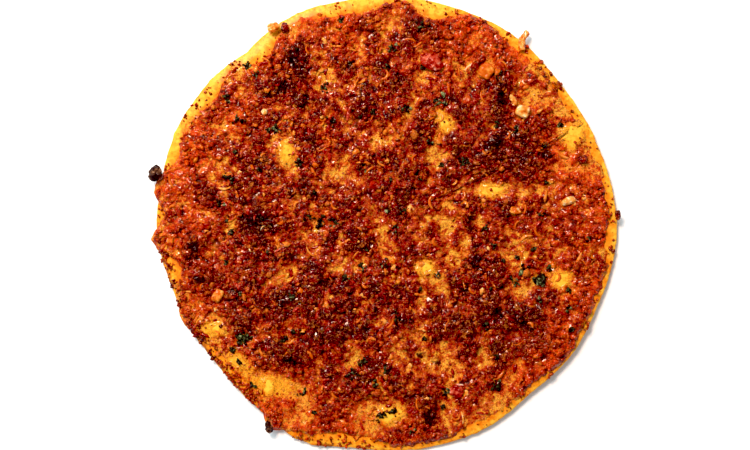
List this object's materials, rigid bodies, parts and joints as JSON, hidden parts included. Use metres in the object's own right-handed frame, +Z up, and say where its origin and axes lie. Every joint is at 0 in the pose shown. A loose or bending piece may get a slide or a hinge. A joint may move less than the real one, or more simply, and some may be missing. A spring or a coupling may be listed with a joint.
{
  "type": "lahmacun",
  "caption": "Thin round flatbread baked with a spread of spiced minced meat, onion and tomato, with a bare golden edge.",
  "frame": {"origin": "centre of the whole's outline, on the flat underside", "axes": "+Z up through the bread to the spread; +Y towards the top of the shown view; +X to its right"},
  "size_m": [0.2089, 0.2018, 0.0077],
  "materials": {
    "bread": "golden baked crust, dry to slightly oily",
    "mince": "browned minced meat with a thin coat of oil",
    "onion": "soft translucent cooked onion",
    "tomato": "wet cooked tomato",
    "herb": "parsley dried and darkened by baking",
    "char": "charred crust crumb"
  },
  "bodies": {
    "root": {"flatbread": "bread", "mince_topping": "mince", "mince_bit_edge": "mince", "mince_bead_right": "mince", "mince_bead_blister": "mince", "onion_bit_edge": "onion", "onion_strip_edge": "onion", "onion_dice_top": "onion", "onion_strip_top": "onion", "onion_dice_orange": "onion", "onion_strip_right": "onion", "onion_strip_inner": "onion", "onion_dice_left": "onion", "tomato_flake_top": "tomato", "tomato_bit_middle": "tomato", "tomato_bit_low": "tomato", "herb_clump_right": "herb", "herb_clump_low": "herb", "char_crumb_left": "char", "char_crumb_low": "char"}
  },
  "joints": []
}
